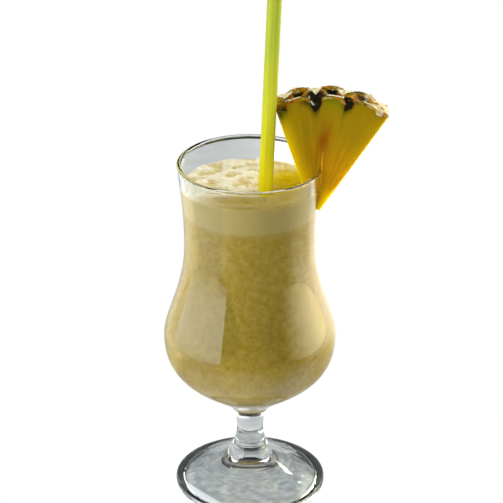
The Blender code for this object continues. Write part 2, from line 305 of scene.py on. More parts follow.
bump = add(tree, "Bump", {"Strength": 0.1, "Distance": 0.05 * MM}, {"Height": streaks})
join(tree, shader, {"Base Color": color, "Normal": bump})
glow = add(tree, "BsdfTranslucent", links={"Color": color})
thin = add(tree, "MixShader", {0: LIGHT_THROUGH}, {1: shader, 2: glow})
join(tree, tree.nodes["Material Output"], {"Surface": thin})

straw_wall = tube_points(STRAW_R, STRAW_R - STRAW_WALL, 0.0, STRAW_LENGTH, STRAW_RINGS)
straw_body = turned_body(straw_wall, STRAW_TURNS, closed=True)
straw = new_piece("drinking_straw", straw_body, straw_material, crease=40)
straw.matrix_world = straw_place
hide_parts("straw")
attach(straw, "root")

# The drink
# Colada smoothie: pineapple, coconut cream and ice blended to a thick, opaque cream. It wets the
# glass all over, so its surface is the inside of the bowl, and it stands in the straw as well.
DRINK_TOP_Z = 154.5 * MM
INTO_WALL = 0.25 * MM
STRAW_ROOM = 0.05 * MM
CUT_OVERRUN = 10.0 * MM


def cut_away(piece, cutters):
    """Take cutters out of a piece for good, and drop them."""
    for cutter in cutters:
        boolean = piece.modifiers.new("cut", "BOOLEAN")
        boolean.operation = "DIFFERENCE"
        boolean.solver = "EXACT"
        boolean.object = cutter
    graph = bpy.context.evaluated_depsgraph_get()
    mesh = bpy.data.meshes.new_from_object(piece.evaluated_get(graph), depsgraph=graph)
    piece.modifiers.clear()
    piece.data = mesh
    for cutter in cutters:
        bpy.data.objects.remove(cutter, do_unlink=True)


def straw_cutter(outer_r, inner_r, low, high):
    """A tube, or with no inner radius a rod, about the straw's axis, from its lower end."""
    if inner_r:
        body = turned_body(tube_points(outer_r, inner_r, low, high, 1), STRAW_TURNS, closed=True)
    else:
        body = turned_body([(0.0, high), (outer_r, high), (outer_r, low), (0.0, low)], STRAW_TURNS)
    cutter = new_piece("cutter", body, straw_material)
    cutter.matrix_world = straw_place
    return cutter


# A creamy emulsion: light goes some millimetres in and comes back yellow. Fine pulp and ice leave
# specks about 1.3 mm across and faint cloudy patches about 3 mm across, and the drink pales upward
# where foam rises from it.
PALING_Z = (151.0 * MM, 155.5 * MM)
SOFT = {"interpolation_type": "SMOOTHSTEP"}
drink_material, tree, shader, place = start_material("blended_colada", {
    "Roughness": 0.45, "IOR": 1.36, "Specular IOR Level": 0.1, "Subsurface Weight": 0.5,
    "Subsurface Scale": 7.0 * MM, "Subsurface Radius": (1.0, 0.65, 0.2)})
clouds = add(tree, "TexNoise", {"Scale": 1 / (3 * MM), "Detail": 4.0, "Roughness": 0.65}, {"Vector": place})
specks = add(tree, "TexNoise", {"Scale": 1 / (1.3 * MM), "Detail": 2.0}, {"Vector": place})
cloud_range = add(tree, "MapRange", {"From Min": 0.3, "From Max": 0.7}, {"Value": clouds})
speck_range = add(tree, "MapRange", {"From Min": 0.54, "From Max": 0.76, "To Max": 0.38}, {"Value": specks})
cream = add(tree, "Mix", RGBA | {6: srgb("#a18422"), 7: srgb("#b59f4a")}, {0: cloud_range})
height = add(tree, "SeparateXYZ", links={0: place})
paling_range = SOFT | {"From Min": PALING_Z[0], "From Max": PALING_Z[1]}
paling = add(tree, "MapRange", paling_range, {"Value": height.outputs["Z"]})
cream = add(tree, "Mix", RGBA | {7: srgb("#b6a158")}, {0: paling, 6: cream})
color = add(tree, "Mix", RGBA | {7: srgb("#6e4f0c")}, {0: speck_range, 6: cream})
join(tree, shader, {"Base Color": color})

wetted = inner_outline(-INTO_WALL)
drink_points = [(0.0, DRINK_TOP_Z), (radius_at(wetted, DRINK_TOP_Z), DRINK_TOP_Z)]
drink_points += [point for point in wetted if point[1] < DRINK_TOP_Z]
drink = new_piece("colada_drink", turned_body(drink_points, GLASS_TURNS), drink_material, crease=50)
sleeve_top = DRINK_TOP_Z - STRAW_END_Z + CUT_OVERRUN
sleeve_inner_r = STRAW_R - STRAW_WALL - STRAW_ROOM
cut_away(drink, [straw_cutter(STRAW_R + STRAW_ROOM, sleeve_inner_r, -STRAW_ROOM, sleeve_top)])
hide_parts("smoothie")
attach(drink, "root")

# The pineapple's flesh
# A sector of a ring slice of ripe pineapple, knife-cut 14 mm thick with its rind on. A slit from
# the tip takes the glass's wall; the inner side dips into the foam, the outer side hangs outside.
WEDGE_TIP = Vector((31.15 * MM, 0.0, 151.4 * MM))
HALF_ANGLE = radians(25.65)
WEDGE_TILT = radians(7.55)
HALF_Y = 7.0 * MM
WEDGE_CORE_R = 5.2 * MM
WEDGE_LEFT_R = 60.8 * MM
WEDGE_RIGHT_R = 63.4 * MM
WEDGE_CROWN = 1.0 * MM
SLIT_LOW_Z = 148.0 * MM
SLIT_TIP_Z = 179.2 * MM
SLIT_WET = 0.15 * MM
EYE_PITCH = 16.3 * MM
EYE_ROW_PITCH = 9.0 * MM
EYE_HEIGHT = 2.0 * MM
EYE_RADIUS = 8.0 * MM
EYE_ROWS = 3
EYE_COLUMNS = 6
SKIN = 1.1 * MM
LOBE = 3.9 * MM
LOBE_WAVER = 0.6
RAGGED = 0.16
RAGGED_SIZE = 2.4 * MM
HOLLOW_RISE = (0.25, 0.8)
HOLLOW_SHARES = ((-24.5 * MM, 0.4), (-8.2 * MM, 1.2), (8.2 * MM, 0.85), (24.5 * MM, 0.1))
FLESH_CELLS = (90, 80, 14)
FIBRES_PER_RADIAN = 22
FIBRE_LENGTH = 16 * MM
FIBRE_DEPTH = 4 * MM
FACE_SINK = 0.03
wedge_place = Matrix.Translation(WEDGE_TIP) @ Matrix.Rotation(WEDGE_TILT, 4, "Y")


def smooth_step(low, high, value):
    """0 below low, 1 above high and a smooth rise between."""
    share = min(max((value - low) / (high - low), 0.0), 1.0)
    return share * share * (3 - 2 * share)


def uneven(size, x, y, z=0.0):
    """A smooth random value from -1 to 1 that changes over such a size."""
    return noise.noise(Vector((x, y, z)) / size)


def eye_centres():
    """The places of the fruit's eyes on the unrolled rind: along the arc, and across its width."""
    for row in range(EYE_ROWS):
        for column in range(EYE_COLUMNS):
            along = (column - EYE_COLUMNS / 2 + 0.5 * (row % 2)) * EYE_PITCH
            yield along, (row - (EYE_ROWS - 1) / 2) * EYE_ROW_PITCH


def eye_height(along, across):
    """How high a place on the rind stands on its nearest eye, from 0 in a hollow up to 1."""
    nearest = min(hypot(along - x, across - y) for x, y in eye_centres())
    return max(1 - (nearest / EYE_RADIUS) ** 2, 0.0)


def arc_radius(share):
    """The rind's middle radius, from the wedge's left side (0) to its right side (1)."""
    return WEDGE_LEFT_R + (WEDGE_RIGHT_R - WEDGE_LEFT_R) * share + WEDGE_CROWN * sin(pi * share)


def arc_place(share):
    """How far along the arc a share of the wedge lies, from its middle."""
    return arc_radius(share) * HALF_ANGLE * (2 * share - 1)


def hollow_depth(along, across):
    """1 in the hollows between eyes, 0 on the eyes; those by the wedge's right side have dried away."""
    ragged = RAGGED * uneven(RAGGED_SIZE, along, across)
    own = HOLLOW_SHARES[0][1]
    for (start, low), (end, high) in zip(HOLLOW_SHARES, HOLLOW_SHARES[1:]):
        own += (high - low) * min(max((along - start) / (end - start), 0.0), 1.0)
    return smooth_step(*HOLLOW_RISE, 1 - eye_height(along, across) + ragged) * own


def flesh_radius(share, y):
    """Where the flesh ends and the rind begins: near the skin under an eye, deep under a hollow."""
    along = arc_place(share)
    waver = 1 + LOBE_WAVER * uneven(RAGGED_SIZE, along, y, 9 * MM)
    low = SKIN + LOBE * waver * hollow_depth(along, y)
    return arc_radius(share) + EYE_HEIGHT * eye_height(along, y) - low


def gridded_block(counts, place_point):
    """The surface of a block with so many cells each way, its corners put where the function says."""
    body = bmesh.new()
    made = {}

    def vertex(index):
        if index not in made:
            made[index] = body.verts.new(place_point(*(i / n for i, n in zip(index, counts))))
        return made[index]

    for axis in range(3):
        one, other = [a for a in range(3) if a != axis]
        for end in (0, counts[axis]):
            for p in range(counts[one]):
                for q in range(counts[other]):
                    corners = []
                    for dp, dq in ((0, 0), (1, 0), (1, 1), (0, 1)):
                        index = [end] * 3
                        index[one] = p + dp
                        index[other] = q + dq
                        corners.append(vertex(tuple(index)))
                    body.faces.new(corners)
    return body


def mark(piece, name, value_at):
    """Store a value on each vertex, worked out from its place in the piece's own frame."""
    layer = piece.data.attributes.new(name, "FLOAT", "POINT")
    layer.data.foreach_set("value", [value_at(*vertex.co) for vertex in piece.data.vertices])


def settle(piece):
    """Put a piece's place into its mesh, so that its own frame is the whole object's."""
    piece.data.transform(piece.matrix_world)
    piece.matrix_world = Matrix.Identity(4)


def flesh_point(across, out, deep):
    """A point of the flesh: across its angle, out from the core to the rind, front to back."""
    y = HALF_Y * (2 * deep - 1)
    angle = HALF_ANGLE * (2 * across - 1)
    radius = WEDGE_CORE_R + (flesh_radius(across, y) - WEDGE_CORE_R) * out
    fibre = noise.noise(Vector((angle * FIBRES_PER_RADIAN, radius / FIBRE_LENGTH, y / FIBRE_DEPTH)))
    if deep in (0.0, 1.0) and 0 < across < 1 and 0 < out < 1:
        y *= 1 - FACE_SINK * (0.5 + fibre)
    return (radius * sin(angle), y, radius * cos(angle))


def wall_slit_cutter():
    """The slit: the juicy flesh wets the glass's wall, so it reaches just into it on both sides."""
    slit_lip_z = RIM.height - SLIT_WET
    sides = []
    for points in ([(r - SLIT_WET, z) for r, z in outline(BOWL)], inner_outline(-SLIT_WET)):
        side = [(points[0][0], slit_lip_z)] + [point for point in points[1:] if point[1] > SLIT_LOW_Z]
        sides.append(side + [(radius_at(points, SLIT_LOW_Z), SLIT_LOW_Z)])
    outer_side, inner_side = sides
    tip = (RIM.radius - RIM_WALL / 2, SLIT_TIP_Z)
    loop = [tip] + outer_side + inner_side[::-1]
    return new_piece("cutter", turned_body(loop, GLASS_TURNS, closed=True), glass_material)


def wedge_polar(x, z):
    """A place in the wedge's frame as its share across, its radius and how far along the arc it is."""
    radius = hypot(x, z)
    share = 0.5 + 0.5 * atan2(x, z) / HALF_ANGLE
    return share, radius, arc_place(share)


# How much of each look a place of the flesh takes: a painted glow on the thin cut sides, green
# under the middle eyes, dark skin under the hollows, and the bruise that the slit's end left. A spot
# is its place along the arc, its half width and how deep it goes.
SIDE_GLOW = 4.2 * MM
RIGHT_DULLER = 0.85
RIGHT_FROM = (12 * MM, 20 * MM)
GREEN_SPOTS = ((0.5 * MM, 6.0 * MM, 4.5 * MM), (-26.0 * MM, 3.5 * MM, 6.0 * MM))
SHADE_REACH = 1.5 * MM
SHADE_REACH_HOLLOW = 2.6 * MM
BLACK_SPOT = (-12.3 * MM, 3.4 * MM, 3.2 * MM)
BRUISE_MIDDLE = Vector((35.4 * MM, 0.0, 193.0 * MM))
BRUISE_HALF = (3.0 * MM, 8.0 * MM)
BRUISE_LEAN = 0.2
BRUISE_WAVER = 0.6 * MM
OUTER = (18 * MM, 52 * MM)
OUTER_WAVER = 6 * MM


def painted_side_glow(x, y, z):
    """Painted glow: 1 on the wedge's two cut sides, falling off inward."""
    share, radius = wedge_polar(x, z)[:2]
    from_side = radius * HALF_ANGLE * 2 * min(share, 1 - share)
    strength = 1 - RIGHT_DULLER * smooth_step(0.4, 0.6, share) * smooth_step(*RIGHT_FROM, radius)
    return strength * exp(-(max(from_side, 0.0) / SIDE_GLOW) ** 1.6)


def green_tinge(x, y, z):
    """1 under the skin of the unripe eyes, falling off down into the flesh."""
    share, radius, along = wedge_polar(x, z)
    below = max(flesh_radius(share, y) - radius, 0.0)
    return max(exp(-((along - at) / wide) ** 2 - (below / deep) ** 2) for at, wide, deep in GREEN_SPOTS)


def rind_shade(x, y, z):
    """1 where the flesh meets the rind in a hollow, falling off down into the flesh."""
    share, radius, along = wedge_polar(x, z)
    below = max(flesh_radius(share, y) - radius, 0.0)
    hollow = min(hollow_depth(along, y), 1.0)
    reach = SHADE_REACH + (SHADE_REACH_HOLLOW - SHADE_REACH) * hollow
    at, wide, deep = BLACK_SPOT
    spot = exp(-((along - at) / wide) ** 2 - (below / deep) ** 2)
    return max(exp(-below / reach) * (0.25 + 0.75 * hollow), spot)


def bruise(x, y, z):
    """1 in the middle of the bruise above the slit, falling off round it."""
    place = wedge_place @ Vector((x, y, z)) - BRUISE_MIDDLE
    aside = place.x - BRUISE_LEAN * place.z + BRUISE_WAVER * uneven(3 * MM, *place)
    return exp(-(aside / BRUISE_HALF[0]) ** 2 - (place.z / BRUISE_HALF[1]) ** 2)


def toward_rind(x, y, z):
    """0 in the core's half of the flesh, rising to 1 under the rind, where it is less ripe."""
    radius, along = wedge_polar(x, z)[1:]
    waver = OUTER_WAVER * uneven(12 * MM, along, y, radius)
    return smooth_step(*OUTER, radius + waver)


# Wet ripe flesh: gold, with light going deep into it, and a painted glow on its thin cut sides.
# Its fibres run from the core to the rind: 28 to a radian, about 1.5 mm apart, 5 mm deep and 18 mm long.
FIBRE_RATES = (28.0, 1 / (5 * MM), 1 / (18 * MM))
FLESH_TINTS = (("toward_rind", toward_rind, "#a08204"), ("painted_side_glow", painted_side_glow, "#ffdc04"),
               ("green_tinge", green_tinge, "#7e800a"), ("bruise", bruise, "#995800"),
               ("rind_shade", rind_shade, "#3c3404"))
flesh_material, tree, shader, place = start_material("ripe_pineapple_flesh", {
    "Roughness": 0.4, "IOR": 1.37, "Specular IOR Level": 0.25, "Subsurface Weight": 0.8,
    "Subsurface Scale": 4.0 * MM, "Subsurface Radius": (1.0, 0.9, 0.05)})
from_tip = add(tree, "Mapping", {"vector_type": "TEXTURE", "Location": WEDGE_TIP,
                                 "Rotation": (0.0, WEDGE_TILT, 0.0)}, {"Vector": place})
split = add(tree, "SeparateXYZ", links={0: from_tip})
angle = add(tree, "Math", {"operation": "ARCTAN2"}, {0: split.outputs["X"], 1: split.outputs["Z"]})
flat = add(tree, "CombineXYZ", links={"X": split.outputs["X"], "Z": split.outputs["Z"]})
radius = add(tree, "VectorMath", {"operation": "LENGTH"}, {0: flat})
polar = add(tree, "CombineXYZ", links={"X": angle, "Y": split.outputs["Y"], "Z": radius})
fibre_place = add(tree, "VectorMath", {"operation": "MULTIPLY", 1: FIBRE_RATES}, {0: polar})
fibres = add(tree, "TexNoise", {"Scale": 1.0, "Detail": 4.0, "Roughness": 0.6}, {"Vector": fibre_place})
fibre_range = add(tree, "MapRange", {"From Min": 0.2, "From Max": 0.8}, {"Value": fibres})
color = add(tree, "Mix", RGBA | {6: srgb("#b47c00"), 7: srgb("#d8a004")}, {0: fibre_range})
for name, value_at, tint in FLESH_TINTS:
    layer = add(tree, "Attribute", {"attribute_name": name})
    color = add(tree, "Mix", RGBA | {7: srgb(tint)}, {0: layer.outputs["Fac"], 6: color})
bump = add(tree, "Bump", {"Strength": 0.4, "Distance": 0.4 * MM}, {"Height": fibres})
join(tree, shader, {"Base Color": color, "Normal": bump})

flesh = new_piece("pineapple_flesh", gridded_block(FLESH_CELLS, flesh_point), flesh_material, crease=50)
flesh.matrix_world = wedge_place
cut_away(flesh, [wall_slit_cutter()])
for name, value_at, tint in FLESH_TINTS:
    mark(flesh, name, value_at)
settle(flesh)
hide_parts("pineapple_wedge")
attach(flesh, "root")

# The torn edge of the slit
# Pushing the wedge over the glass has torn the flesh along the knife's slit: a thin ridge that
# stands a little proud of the face, from the bruise down past the lip.
TEAR_TOP_Z = 187.0 * MM
TEAR_LOW_Z = 157.0 * MM
TEAR_STEPS = 44
TEAR_SIDES = 8
TEAR_R = 0.7 * MM
TEAR_THINNING = 0.5
TEAR_LUMP = 0.3
TEAR_LUMP_SIZE = 1.3 * MM

# Wet torn flesh: smoother with juice than the cut face, so that the ridge catches the light, and
# shredded about every 1.5 mm.
tear_material, tree, shader, place = start_material("torn_pineapple_flesh", {
    "Roughness": 0.3, "IOR": 1.37, "Subsurface Weight": 0.7, "Subsurface Scale": 2.0 * MM,
    "Subsurface Radius": (1.0, 0.7, 0.2)})
shreds = add(tree, "TexNoise", {"Scale": 1 / (1.5 * MM), "Detail": 3.0}, {"Vector": place})
color = add(tree, "Mix", RGBA | {6: srgb("#d88c00"), 7: srgb("#f0b414")}, {0: shreds})
join(tree, shader, {"Base Color": color})

wall_outside = outline(BOWL)
body = bmesh.new()
loops = []
for step in range(TEAR_STEPS + 1):
    share = step / TEAR_STEPS
    z = TEAR_TOP_Z + (TEAR_LOW_Z - TEAR_TOP_Z) * share
    radius = radius_at(wall_outside, min(z, RIM.height))
    x = sqrt(radius * radius - HALF_Y * HALF_Y)
    lumpy = 1 + TEAR_LUMP * uneven(TEAR_LUMP_SIZE, 0.0, 0.0, z)
    pointed = sqrt(sin(pi * min(max(share, 0.01), 0.99)))
    thick = TEAR_R * (1 - TEAR_THINNING * share) * lumpy * pointed
    loop = []
    for side in range(TEAR_SIDES):
        turn = tau * side / TEAR_SIDES
        loop.append(body.verts.new((x + thick * cos(turn), -HALF_Y + thick * sin(turn), z)))
    loops.append(loop)
for upper, lower in zip(loops, loops[1:]):
    for k in range(TEAR_SIDES):
        j = (k + 1) % TEAR_SIDES
        body.faces.new((upper[k], lower[k], lower[j], upper[j]))
body.faces.new(loops[0])
body.faces.new(reversed(loops[-1]))
tear = new_piece("pineapple_slit_edge", body, tear_material)
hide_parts("pineapple_wedge")
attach(tear, "root")

# The rind
# The fused dry skins of the fruit's eyes, grown on the flesh: a hard knobbly layer, thin under an
# eye and deep in the hollows between. Mould has blackened patches, and the right side has dried.
RIND_CELLS = (150, 8, 36)
GROOVE_DEPTH = 1.1 * MM
RIND_GRAIN = 0.5 * MM
RIND_GRAIN_SIZE = 2.2 * MM

# Patches in millimetres: the place along the arc and across it, and half as long and wide.
DARK_PATCHES = ((-8.0, -3.0, 5.0, 4.5), (4.0, -5.0, 7.0, 1.5), (14.0, 0.5, 3.0, 3.5))
PAPERY = (15 * MM, 20 * MM)
PAPERY_WAVER = 4 * MM

# Dry matt skin, in blotches about 7 mm across: orange-brown to yellow-green on the eyes, cream
# where it is papery, olive-black in the hollows, with pale specks that are painted highlights.
rind_material, tree, shader, place = start_material("pineapple_rind", {
    "Roughness": 0.75, "IOR": 1.45, "Specular IOR Level": 0.1})
blotch = add(tree, "TexNoise", {"Scale": 1 / (7 * MM), "Detail": 3.0, "Roughness": 0.55}, {"Vector": place})
blotches = add(tree, "ValToRGB", None, {0: blotch}, (
    (0.36, "#55540a"), (0.43, "#b98e04"), (0.48, "#8a3a00"), (0.53, "#c47c04"), (0.59, "#77740a"),
    (0.66, "#c9b878")))
papery = add(tree, "Attribute", {"attribute_name": "papery"})
hollow = add(tree, "Attribute", {"attribute_name": "hollow"})
rough = add(tree, "TexNoise", {"Scale": 1 / (1.6 * MM), "Detail": 4.0, "Roughness": 0.65},
            {"Vector": place})
ragged = add(tree, "Math", {"operation": "MULTIPLY_ADD", 1: 0.7}, {0: rough, 2: hollow.outputs["Fac"]})
dark = add(tree, "MapRange", {"From Min": 0.6, "From Max": 1.0}, {"Value": ragged})
skin = add(tree, "Mix", RGBA | {7: srgb("#e2d2a0")}, {0: papery.outputs["Fac"], 6: blotches})
skin = add(tree, "Mix", RGBA | {7: srgb("#1a1604")}, {0: dark, 6: skin})
# Pale specks painted on as highlights.
glint_spots = add(tree, "TexNoise", {"Scale": 1 / (3.4 * MM), "Detail": 2.0}, {"Vector": place})
painted_glints = add(tree, "MapRange", {"From Min": 0.63, "From Max": 0.69, "To Max": 0.8}, {"Value": glint_spots})
color = add(tree, "Mix", RGBA | {7: srgb("#d6d2cc")}, {0: painted_glints, 6: skin})
bump = add(tree, "Bump", {"Strength": 0.8, "Distance": 0.7 * MM}, {"Height": rough})
join(tree, shader, {"Base Color": color, "Normal": bump})


def rind_radius(share, y):
    """The rind's outer radius: domed eyes, grooves between them, and a rough skin."""
    along = arc_place(share)
    eye = eye_height(along, y)
    groove = 1 - smooth_step(0.05, 0.5, eye)
    grain = abs(uneven(RIND_GRAIN_SIZE, along, y))
    return arc_radius(share) + EYE_HEIGHT * eye - GROOVE_DEPTH * groove - RIND_GRAIN * grain


def rind_point(across, out, deep):
    """A point of the rind: across its angle, out through its thickness, front to back."""
    y = HALF_Y * (2 * deep - 1)
    angle = HALF_ANGLE * (2 * across - 1)
    low = flesh_radius(across, y)
    radius = low + (rind_radius(across, y) - low) * out
    return (radius * sin(angle), y, radius * cos(angle))


def rind_hollow(x, y, z):
    """1 in the hollows between eyes and on the patches that mould has blackened, 0 on sound eyes."""
    along = wedge_polar(x, z)[2]
    patches = [exp(-((along / MM - at) / long) ** 2 - ((y / MM - across) / wide) ** 2)
               for at, across, long, wide in DARK_PATCHES]
    return max(hollow_depth(along, y), *patches)


def rind_papery(x, y, z):
    """1 where the rind has dried to cream paper, by the wedge's right side."""
    along = wedge_polar(x, z)[2]
    waver = PAPERY_WAVER * uneven(3.5 * MM, along, y, 3 * MM)
    torn = smooth_step(-0.3, 0.0, uneven(3 * MM, along, y, 8 * MM))
    return 0.9 * smooth_step(*PAPERY, along + waver) * torn


rind = new_piece("pineapple_rind", gridded_block(RIND_CELLS, rind_point), rind_material, crease=60)
rind.matrix_world = wedge_place
mark(rind, "hollow", rind_hollow)
mark(rind, "papery", rind_papery)
settle(rind)
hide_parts("pineapple_wedge")
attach(rind, "root")

# The bracts
# The dry papery leaf of each eye, a thin cream triangle that grows from the eye's far edge and folds
# over it, torn at its rim. The knife has cut those that reach past the slice's faces.
BRACT_LENGTH = 9.5 * MM
BRACT_HALF_WIDTH = 3.6 * MM
BRACT_LIFT = 0.35 * MM
BRACT_PAPER = 0.3 * MM
BRACT_STEPS = 14
BRACT_SPANS = 8
BRACT_MARGIN = 0.3 * MM
BRACT_TEAR = 0.35
BRACT_POINT = 0.15 * MM
BRACT_SHARES = (0.015, 0.945)
SHORTEST_SHARE = 0.12

# Dry leaf paper: matt cream with brown grain along it, drawn 1 mm wide so that it shows.
bract_material, tree, shader, place = start_material("dry_bract_paper", {"Roughness": 0.7, "IOR": 1.45})
grain_place = add(tree, "Mapping", {"Scale": (1.0, 0.25, 1.0)}, {"Vector": place})
grain = add(tree, "TexNoise", {"Scale": 1 / (1.0 * MM), "Detail": 3.0, "Roughness": 0.6},
            {"Vector": grain_place})
color = add(tree, "ValToRGB", None, {0: grain}, ((0.30, "#8d6f2c"), (0.45, "#d9cb94"), (0.62, "#efe6c4")))
bump = add(tree, "Bump", {"Strength": 0.5, "Distance": 0.3 * MM}, {"Height": grain})
join(tree, shader, {"Base Color": color, "Normal": bump})

draws = random.Random(4)
body = bmesh.new()
for eye_along, eye_across in eye_centres():
    length = BRACT_LENGTH * draws.uniform(0.75, 1.1)
    half_width = BRACT_HALF_WIDTH * draws.uniform(0.7, 1.2)
    lean = draws.uniform(-0.25, 0.25)
    shift = draws.uniform(-2.0, 2.0) * MM
    base_y = eye_across + 0.5 * length + draws.uniform(-0.5, 0.5) * MM
    first = max(0.0, (base_y - HALF_Y + BRACT_MARGIN) / length)
    last = min(1.0, (base_y + HALF_Y - BRACT_MARGIN) / length)
    if last - first < SHORTEST_SHARE:
        continue
    rows = []
    for step in range(BRACT_STEPS + 1):
        down = first + (last - first) * step / BRACT_STEPS
        y = base_y - length * down
        row = []
        for span in range(BRACT_SPANS + 1):
            side = 2 * span / BRACT_SPANS - 1
            torn = 1 + BRACT_TEAR * uneven(2 * MM, side * 1.5, y, eye_along) * abs(side)
            reach = half_width * (1 - down) ** 0.8 * torn + BRACT_POINT
            along = eye_along + shift + lean * length * down + side * reach
            share = 0.5 + 0.5 * along / (HALF_ANGLE * arc_radius(0.5))
            if not BRACT_SHARES[0] < share < BRACT_SHARES[1]:
                break
            lift = BRACT_LIFT * (0.6 + 1.6 * down * down + 0.8 * side * side)
            radius = arc_radius(share) + EYE_HEIGHT * eye_height(arc_place(share), y) + lift
            angle = HALF_ANGLE * (2 * share - 1)
            row.append(body.verts.new((radius * sin(angle), y, radius * cos(angle))))
        rows.append(row)
    if any(len(row) <= BRACT_SPANS for row in rows):
        bmesh.ops.delete(body, geom=[vertex for row in rows for vertex in row], context="VERTS")
        continue
    for upper, lower in zip(rows, rows[1:]):
        for k in range(BRACT_SPANS):
            body.faces.new((upper[k], lower[k], lower[k + 1], upper[k + 1]))
bracts = new_piece("pineapple_bracts", body, bract_material, crease=60)
bracts.matrix_world = wedge_place
settle(bracts)
paper = bracts.modifiers.new("paper", "SOLIDIFY")
paper.thickness = BRACT_PAPER
paper.offset = 0.0
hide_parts("pineapple_wedge")
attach(bracts, "root")

# The foam
# The head that rises on a blended drink: fine bubbles of air and cream, whiter than the drink,
# uneven on top where bubbles have burst, darker and yellower towards the front, with painted shade in its
# hollows and on its side, and painted yellow light from the pineapple.
FOAM_TOP_Z = 167.6 * MM
FOAM_FALL = 0.045
FOAM_CROWN = 0.7 * MM
FOAM_LUMP = 1.1 * MM
FOAM_LUMP_SIZE = 7.0 * MM
FOAM_BUBBLE = 0.8 * MM
FOAM_BUBBLE_SIZE = 3.2 * MM
FROTH = 0.25 * MM
FROTH_SIZE = 1.1 * MM
BRIM_REACH = 1.6 * MM
BRIM_DROP = 0.7 * MM
FOAM_TURNS = 320
FOAM_RINGS = 76
FOAM_SIDE_RINGS = 12
DIP_REACH = 30.0 * MM
foam_r = radius_at(wetted, FOAM_TOP_Z)


def foam_relief(x, y):
    """The lumps and hollows of the foam's top, above or below its even surface."""
    lumps = uneven(FOAM_LUMP_SIZE, x, y)
    bubbles = abs(uneven(FOAM_BUBBLE_SIZE, x, y))
    froth = abs(uneven(FROTH_SIZE, x, y, 5 * MM))
    return FOAM_LUMP * lumps - FOAM_BUBBLE * bubbles - FROTH * froth


def foam_height(x, y):
    """The foam's top, which rounds down where it meets the glass."""
    reach = hypot(x, y)
    crown = FOAM_CROWN * (1 - (reach / RIM.radius) ** 2)
    brim = BRIM_DROP * smooth_step(foam_r - BRIM_REACH, foam_r, reach) ** 2
    return FOAM_TOP_Z - FOAM_FALL * y + crown - brim + foam_relief(x, y)


def wedge_room_point(across, out, deep):
    """A point of the room that the dipped end of the wedge takes in the foam."""
    reach = WEDGE_CORE_R + DIP_REACH * out
    aside = sin(HALF_ANGLE * (2 * across - 1))
    return (reach * aside, HALF_Y * (2 * deep - 1), reach * cos(HALF_ANGLE))


body = bmesh.new()
turns = [tau * turn / FOAM_TURNS for turn in range(FOAM_TURNS)]
loops = []
for step in range(1, FOAM_RINGS + 1):
    reach = foam_r * step / FOAM_RINGS
    loop = []
    for turn in turns:
        z = foam_height(reach * cos(turn), reach * sin(turn))
        radius = radius_at(wetted, z) if step == FOAM_RINGS else reach
        loop.append(body.verts.new((radius * cos(turn), radius * sin(turn), z)))
    loops.append(loop)
brim = loops[-1]
for step in range(1, FOAM_SIDE_RINGS + 1):
    loop = []
    for turn, top in zip(turns, brim):
        z = top.co.z + (DRINK_TOP_Z - top.co.z) * step / FOAM_SIDE_RINGS
        radius = radius_at(wetted, z)
        loop.append(body.verts.new((radius * cos(turn), radius * sin(turn), z)))
    loops.append(loop)
top_middle = body.verts.new((0.0, 0.0, foam_height(0.0, 0.0)))
low_middle = body.verts.new((0.0, 0.0, DRINK_TOP_Z))
for k in range(FOAM_TURNS):
    after = (k + 1) % FOAM_TURNS
    body.faces.new((top_middle, loops[0][k], loops[0][after]))
    body.faces.new((low_middle, loops[-1][after], loops[-1][k]))
    for upper, lower in zip(loops, loops[1:]):
        body.faces.new((upper[k], lower[k], lower[after], upper[after]))

# Where the foam's top is darker and yellower towards the front, the painted yellow light that the
# pineapple casts on it beside the straw, and the painted shade on the side pressed against the glass.
DARKER_FRONT_RISE = (11.0 * MM, 21.0 * MM)
DARKER_FRONT_ACROSS = (-38.0 * MM, -12.0 * MM)
DARKER_FRONT_RIGHT = 0.45
DARKER_FRONT_WAVER = 3.0 * MM
CAST_LIGHT_MIDDLE = (20.0 * MM, 2.0 * MM)
CAST_LIGHT_REACH = 13.0 * MM
CAST_LIGHT_FADE = (0.5, 1.7)
SIDE_BLEND = 2.5 * MM
SIDE_ABOVE = 0.8 * MM
SIDE_SKIN = 0.3 * MM


def darker_front(x, y, z):
    """1 on the front of the foam's top, less towards the left, 0 behind its middle."""
    waver = DARKER_FRONT_WAVER * uneven(9 * MM, x, y)
    forward = waver - y + DARKER_FRONT_RIGHT * max(x, 0.0)
    return 0.9 * smooth_step(*DARKER_FRONT_RISE, forward) * smooth_step(*DARKER_FRONT_ACROSS, x)


def pineapple_cast_light(x, y, z):
    """Painted yellow light from the pineapple: 1 in its pool between the straw and the pineapple."""
    away = hypot(x - CAST_LIGHT_MIDDLE[0], (y - CAST_LIGHT_MIDDLE[1]) * 0.8) / CAST_LIGHT_REACH
    return 1 - smooth_step(*CAST_LIGHT_FADE, away + 0.25 * uneven(4 * MM, x, y))


def foam_side_shade(x, y, z):
    """Painted shade: 1 on the foam's side against the glass, blending in over the first millimetres down.
    """
    if hypot(x, y) < radius_at(wetted, z) - SIDE_SKIN:
        return 0.0
    return smooth_step(0.0, SIDE_BLEND, foam_height(x, y) - z + SIDE_ABOVE)


# Foam of cream and fruit: it scatters light so well that it looks pale. By the height of its top,
# its hollows are painted darker and yellower as shade and its lumps paler as light. Its bubbles are drawn
# 0.9 mm across, coarser than real, to show.
FOAM_TINTS = (("darker_front", darker_front, "#c6a636"), ("pineapple_cast_light", pineapple_cast_light, "#ccb000"), ("side", foam_side_shade, "#b8a462"))
foam_material, tree, shader, place = start_material("smoothie_foam", {
    "Roughness": 0.5, "IOR": 1.36, "Specular IOR Level": 0.15, "Subsurface Weight": 0.5,
    "Subsurface Scale": 2.0 * MM, "Subsurface Radius": (1.0, 0.9, 0.65)})
